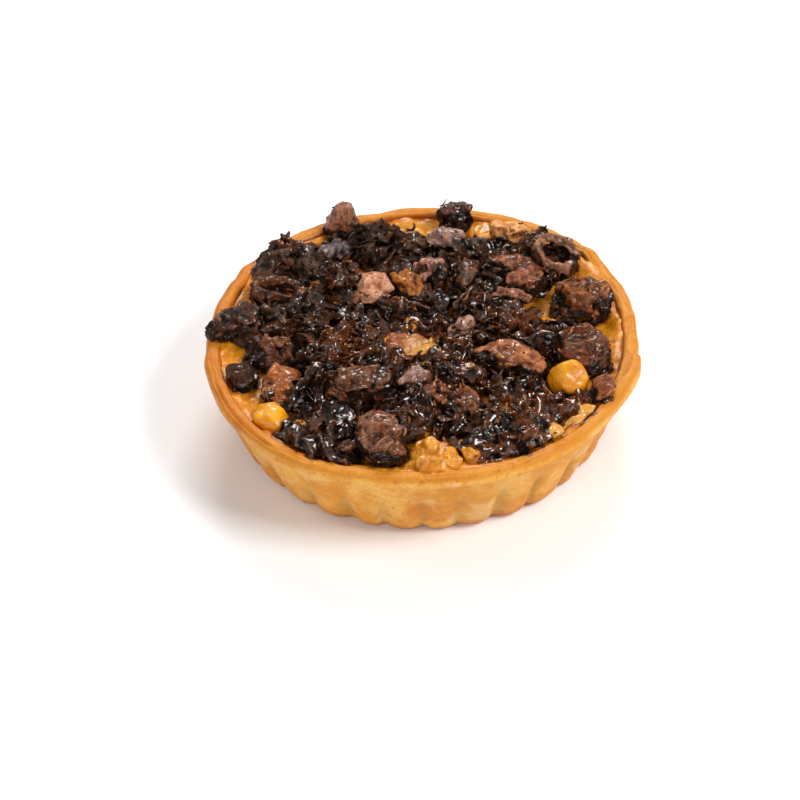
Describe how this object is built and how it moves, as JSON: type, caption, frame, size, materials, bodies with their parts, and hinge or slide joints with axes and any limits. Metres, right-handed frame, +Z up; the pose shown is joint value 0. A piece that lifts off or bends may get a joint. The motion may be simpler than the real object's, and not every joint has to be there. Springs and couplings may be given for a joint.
{
  "type": "sausage quiche",
  "caption": "Individual round quiche: a fluted pastry case of baked custard, covered with charred sausage, cheese lumps and heaps of crisp onion.",
  "frame": {"origin": "middle of the flat base, on the surface the quiche stands on", "axes": "+Z up; -Y towards the side that faces the viewer in the picture, +X to the viewer's right"},
  "size_m": [0.1193, 0.1191, 0.0363],
  "materials": {
    "crust": "baked shortcrust, golden tan, browner at the base edge and inside the rim",
    "custard": "baked egg custard, yellow with browned patches, glossy",
    "cheese": "melted cheese, yellow, glossy",
    "sausage": "roasted sausage, pink-brown to charred black, greasy",
    "burnt_onion": "charred onion, near black with orange-brown edges, wet gloss"
  },
  "bodies": {
    "root": {"cheese_back": "cheese", "cheese_front": "cheese", "cheese_front_back": "cheese", "cheese_front_right": "cheese", "cheese_left": "cheese", "cheese_right": "cheese", "custard": "custard", "onion_heap_01": "burnt_onion", "onion_heap_02": "burnt_onion", "onion_heap_03": "burnt_onion", "onion_heap_04": "burnt_onion", "onion_heap_05": "burnt_onion", "onion_heap_06": "burnt_onion", "onion_heap_07": "burnt_onion", "onion_heap_08": "burnt_onion", "onion_heap_09": "burnt_onion", "onion_heap_10": "burnt_onion", "onion_heap_11": "burnt_onion", "onion_heap_12": "burnt_onion", "onion_heap_13": "burnt_onion", "onion_heap_14": "burnt_onion", "onion_heap_15": "burnt_onion", "onion_heap_16": "burnt_onion", "onion_heap_17": "burnt_onion", "onion_heap_18": "burnt_onion", "pastry_case": "crust", "sausage_amber": "sausage", "sausage_barrel": "sausage", "sausage_black": "sausage", "sausage_crumbly": "sausage", "sausage_cube": "sausage", "sausage_cup": "sausage", "sausage_curl": "sausage", "sausage_flat": "sausage", "sausage_front": "sausage", "sausage_grain": "sausage", "sausage_grey": "sausage", "sausage_hollow": "sausage", "sausage_leaf": "sausage", "sausage_left": "sausage", "sausage_long": "sausage", "sausage_lump_back": "sausage", "sausage_middle": "sausage", "sausage_peak": "sausage", "sausage_pink": "sausage", "sausage_right": "sausage", "sausage_rim": "sausage", "sausage_rough": "sausage", "sausage_slab": "sausage", "sausage_slab_back": "sausage", "sausage_sliver": "sausage", "sausage_small": "sausage", "sausage_strip": "sausage", "sausage_tan": "sausage"}
  },
  "joints": []
}
